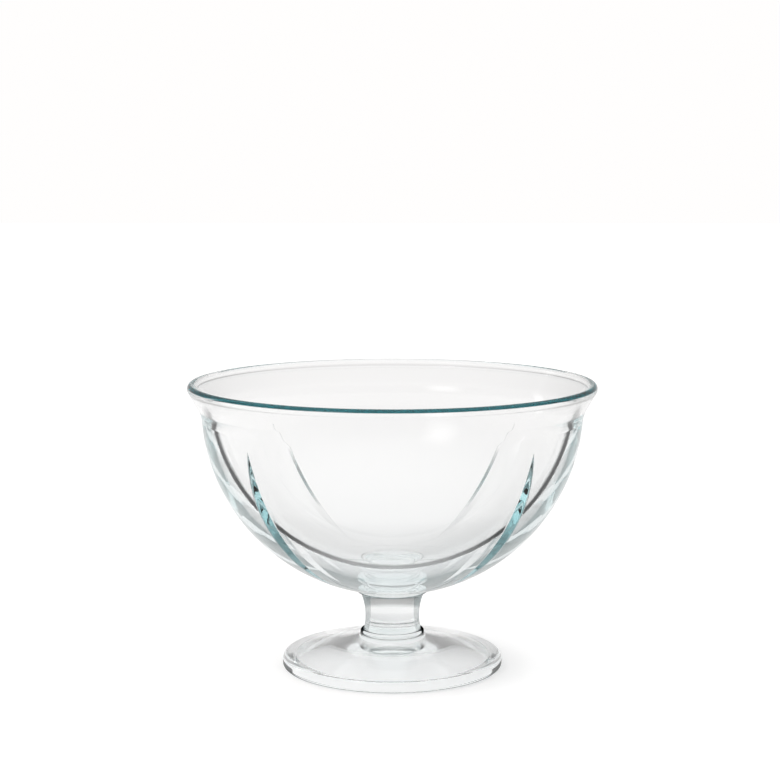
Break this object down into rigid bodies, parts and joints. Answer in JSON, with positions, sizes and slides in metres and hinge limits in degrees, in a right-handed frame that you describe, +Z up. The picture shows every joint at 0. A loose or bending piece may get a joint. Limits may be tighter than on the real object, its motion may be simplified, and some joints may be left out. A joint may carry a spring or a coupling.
{
  "type": "trifle bowl",
  "caption": "Clear glass trifle bowl with a flared rolled lip and leaf-shaped creases, on a short waisted stem and a domed round foot.",
  "frame": {"origin": "on the table, under the middle of the foot", "axes": "+Z up along the bowl's own axis; the creases lie at 45 degrees to +X and +Y, so the front (-Y) is the middle of a plain panel"},
  "size_m": [0.23, 0.23, 0.1625],
  "materials": {
    "clear_glass": "fire-polished clear soda-lime glass with a faint blue-green edge"
  },
  "bodies": {
    "root": {"bowl": "clear_glass", "join_wafer": "clear_glass", "stem": "clear_glass", "stem_collar": "clear_glass", "foot": "clear_glass"}
  },
  "joints": []
}
